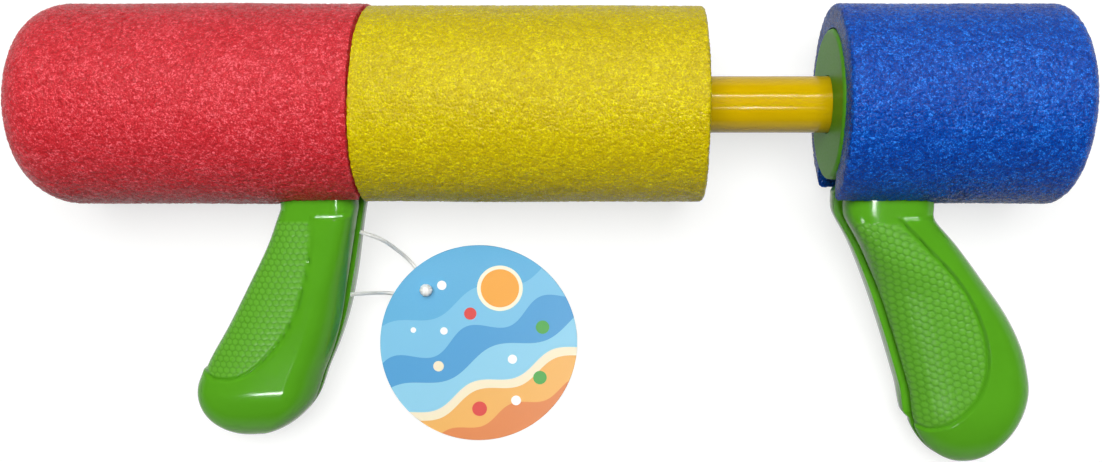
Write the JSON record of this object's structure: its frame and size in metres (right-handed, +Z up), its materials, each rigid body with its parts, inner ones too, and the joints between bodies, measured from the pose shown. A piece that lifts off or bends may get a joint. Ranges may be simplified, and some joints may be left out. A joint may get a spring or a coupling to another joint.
{
  "type": "water squirter",
  "caption": "Pump-action water squirter: foam-sleeved barrel and sliding plunger with a front and a rear pistol grip, lying on its side with its hang tag.",
  "frame": {"origin": "middle of the base of the box around the squirter as it lies on its side, without its tag", "axes": "+X along the barrel from nozzle to tail, +Y away from the grips, +Z up from the floor it lies on"},
  "size_m": [0.3096, 0.1414, 0.06],
  "materials": {
    "red_foam": "closed-cell polyethylene foam with a pebbled satin skin",
    "yellow_foam": "closed-cell polyethylene foam with a pebbled satin skin",
    "blue_foam": "closed-cell polyethylene foam with a pebbled satin skin",
    "green_plastic": "moulded polypropylene, glossy, with a raised honeycomb on the grips",
    "yellow_plastic": "extruded plastic tube, glossy",
    "pale_plastic": "extruded plastic tube",
    "black_rubber": "moulded rubber",
    "plated_steel": "zinc-plated steel",
    "printed_card": "coated card with a printed face",
    "white_nylon": "moulded nylon, slightly translucent"
  },
  "bodies": {
    "barrel": {"red_foam_sleeve": "red_foam", "yellow_foam_sleeve": "yellow_foam", "barrel_tube": "pale_plastic", "nozzle_insert": "green_plastic", "nozzle_gasket": "black_rubber", "tail_guide": "green_plastic", "front_grip_left": "green_plastic", "front_grip_right": "green_plastic", "front_grip_screw_1": "plated_steel", "front_grip_screw_2": "plated_steel", "front_grip_screw_3": "plated_steel"},
    "piston": {"piston": "green_plastic", "piston_o_ring": "black_rubber"},
    "plunger": {"plunger_rod": "yellow_plastic", "rod_front_plug": "green_plastic", "piston_washer": "plated_steel", "piston_screw": "plated_steel", "rod_rear_plug": "green_plastic", "core_screw": "plated_steel", "rear_core": "green_plastic", "tail_plug": "green_plastic", "blue_foam_sleeve": "blue_foam", "rear_grip_left": "green_plastic", "rear_grip_right": "green_plastic", "rear_grip_screw_1": "plated_steel", "rear_grip_screw_2": "plated_steel", "rear_grip_screw_3": "plated_steel"},
    "tag": {"hang_tag": "printed_card", "tag_bead": "white_nylon", "tag_loop": "white_nylon"}
  },
  "joints": [
    {"name": "plunger_slide", "type": "slide", "parent": "barrel", "child": "piston", "axis": [1, 0, 0], "range_m": [-0.03625, 0.09865]},
    {"name": "plunger_twist", "type": "hinge", "parent": "piston", "child": "plunger", "pos_m": [0, 0.04073, 0.03], "axis": [-1, 0, 0], "continuous": true},
    {"name": "tag_swing", "type": "hinge", "parent": "barrel", "child": "tag", "pos_m": [-0.0592, 0.00248, 0.02243], "axis": [-0.1792, -0.9651, -0.1911], "range_deg": [0, 110]}
  ]
}
